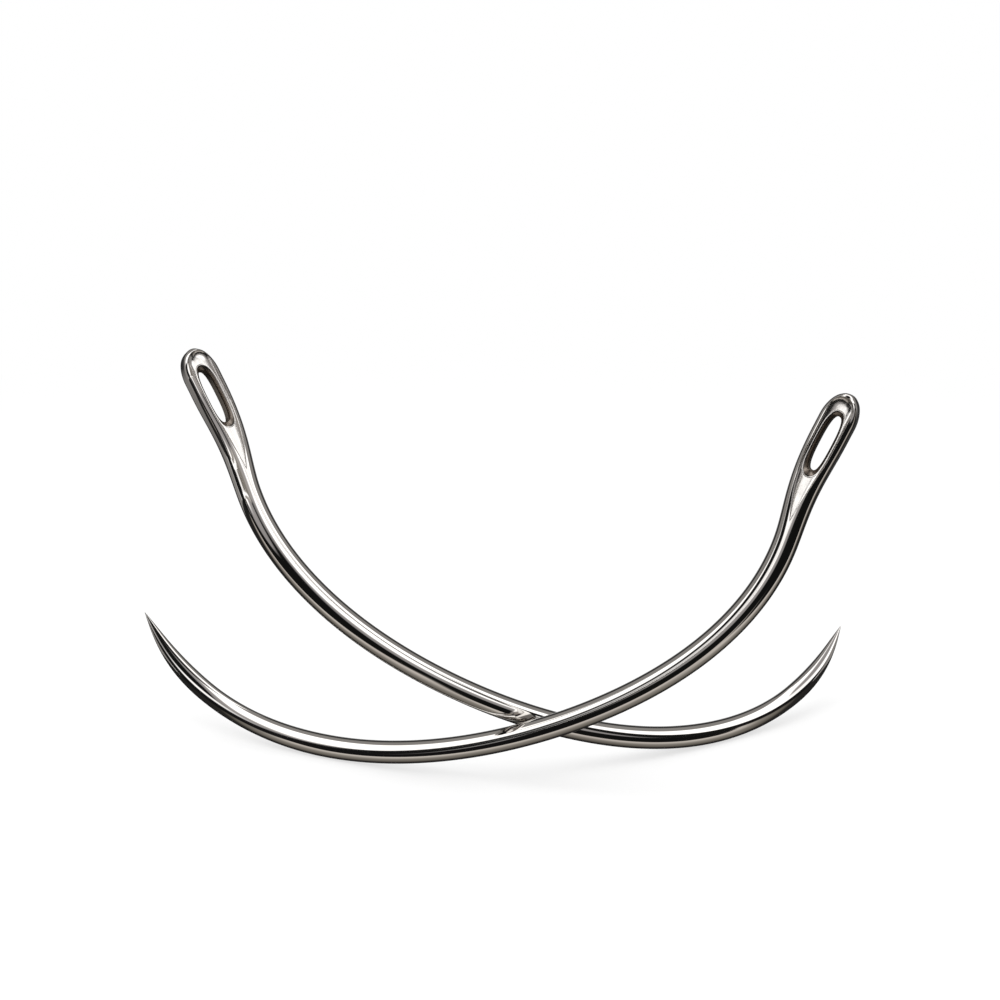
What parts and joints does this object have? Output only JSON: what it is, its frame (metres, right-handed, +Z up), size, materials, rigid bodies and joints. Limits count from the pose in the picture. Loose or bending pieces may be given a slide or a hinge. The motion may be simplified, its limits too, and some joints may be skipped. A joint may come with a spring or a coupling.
{
  "type": "curved hand-sewing needle",
  "caption": "Curved hand-sewing needles, crossed, each bent from round steel wire, with a ground point and a flattened, grooved head pierced by a long eye.",
  "frame": {"origin": "on the floor, under the middle of the pair's overall box", "axes": "+Z up from the floor, +X along the pair from the front needle's point to its head side, -Y towards the viewer"},
  "size_m": [0.0604, 0.0272, 0.0334],
  "materials": {
    "front_needle_steel": "polished bright, faint lengthwise polishing marks, groove brushed",
    "rear_needle_steel": "polished bright, faint lengthwise polishing marks, groove brushed"
  },
  "bodies": {
    "front": {"front_needle": "front_needle_steel"},
    "rear": {"rear_needle": "rear_needle_steel"}
  },
  "joints": [
    {"name": "rear_lift", "type": "slide", "parent": "front", "child": "rear", "axis": [0, 0, 1], "range_m": [0, 0.035]}
  ]
}
